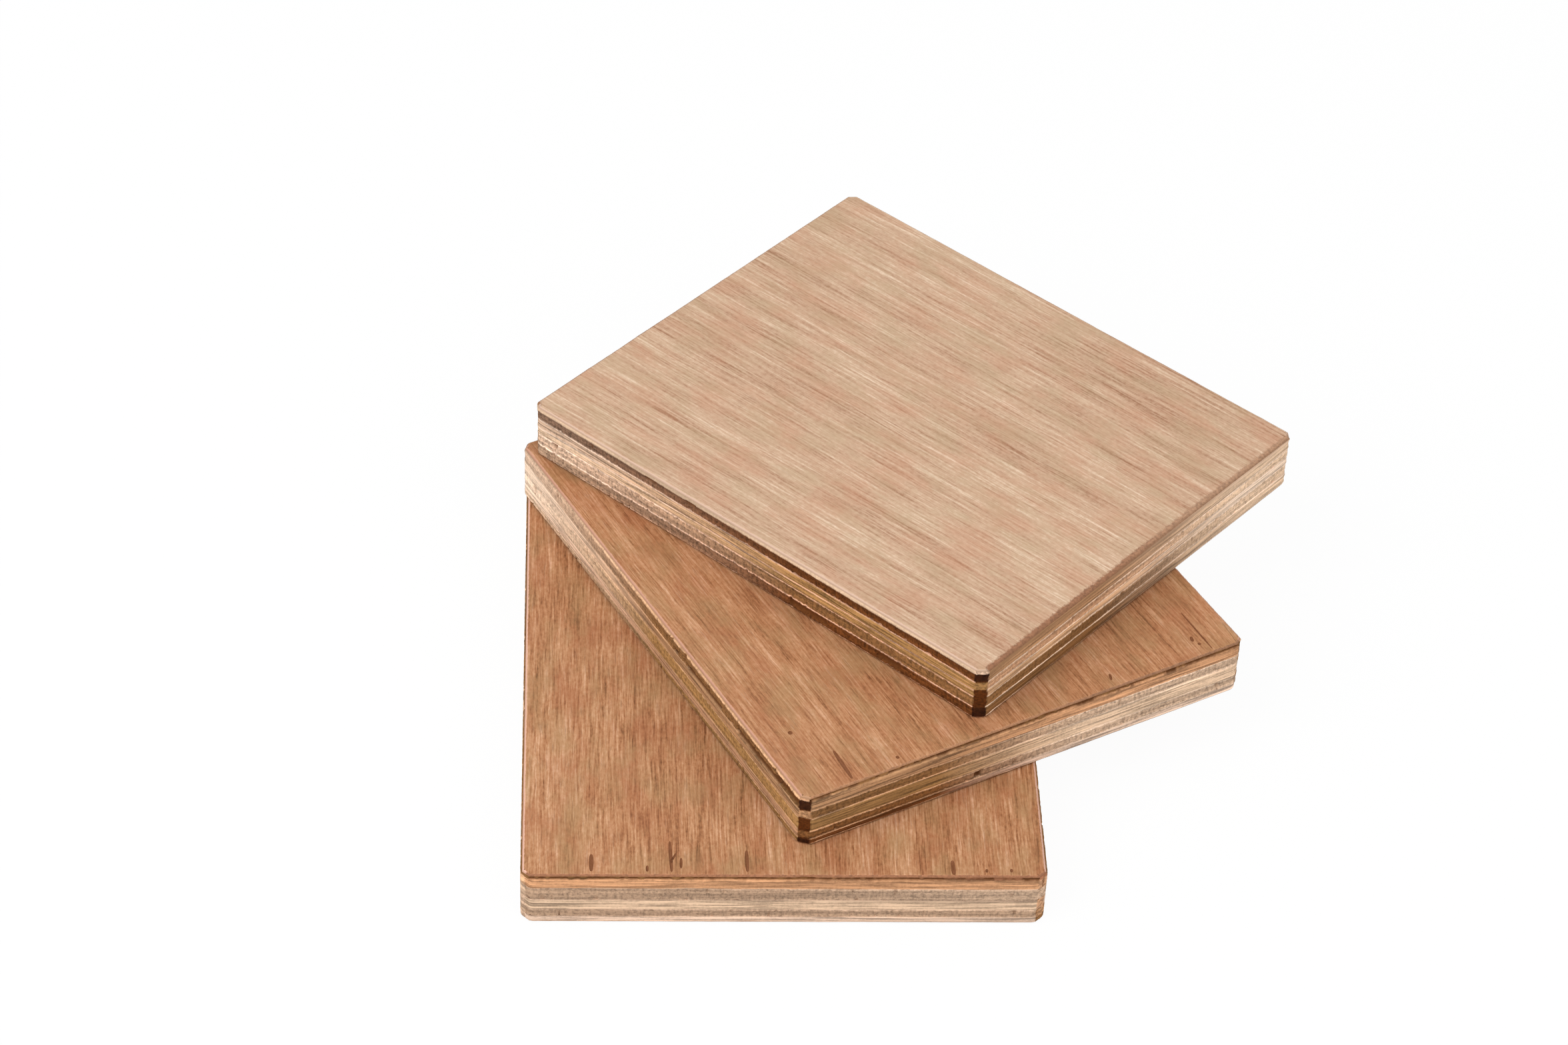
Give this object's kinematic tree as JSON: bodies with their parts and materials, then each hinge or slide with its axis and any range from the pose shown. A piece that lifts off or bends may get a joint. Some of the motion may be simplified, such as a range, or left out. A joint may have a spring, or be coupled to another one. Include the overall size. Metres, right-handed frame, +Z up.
{
  "type": "stack of plywood sheets",
  "caption": "Small square-cut plywood sheets with clipped corners, fanned out on one another as a stack, with every ply of the layup a piece of its own.",
  "frame": {"origin": "on the floor, in the middle of the whole stack's outline", "axes": "+Z up through the panels' thickness; the bottom panel's face grain runs along Y and its sawn ends face -Y and +Y"},
  "size_m": [0.2254, 0.2646, 0.054],
  "materials": {
    "face_veneer": "sanded red-brown hardwood veneer",
    "pale_face_veneer": "sanded pale salmon hardwood veneer",
    "crossband": "sawn orange-tan hardwood veneer",
    "long_core": "sawn grey-brown hardwood veneer",
    "centre_core": "sawn cream hardwood veneer",
    "back_veneer": "rough tan hardwood veneer"
  },
  "bodies": {
    "root": {"bottom_sheet_face_veneer": "face_veneer", "bottom_sheet_upper_crossband": "crossband", "bottom_sheet_upper_long_core": "long_core", "bottom_sheet_centre_core": "centre_core", "bottom_sheet_lower_long_core": "long_core", "bottom_sheet_lower_crossband": "crossband", "bottom_sheet_back_veneer": "back_veneer", "middle_sheet_face_veneer": "face_veneer", "middle_sheet_upper_crossband": "crossband", "middle_sheet_upper_long_core": "long_core", "middle_sheet_centre_core": "centre_core", "middle_sheet_lower_long_core": "long_core", "middle_sheet_lower_crossband": "crossband", "middle_sheet_back_veneer": "back_veneer", "top_sheet_face_veneer": "pale_face_veneer", "top_sheet_upper_crossband": "crossband", "top_sheet_upper_long_core": "long_core", "top_sheet_centre_core": "centre_core", "top_sheet_lower_long_core": "long_core", "top_sheet_lower_crossband": "crossband", "top_sheet_back_veneer": "back_veneer"}
  },
  "joints": []
}
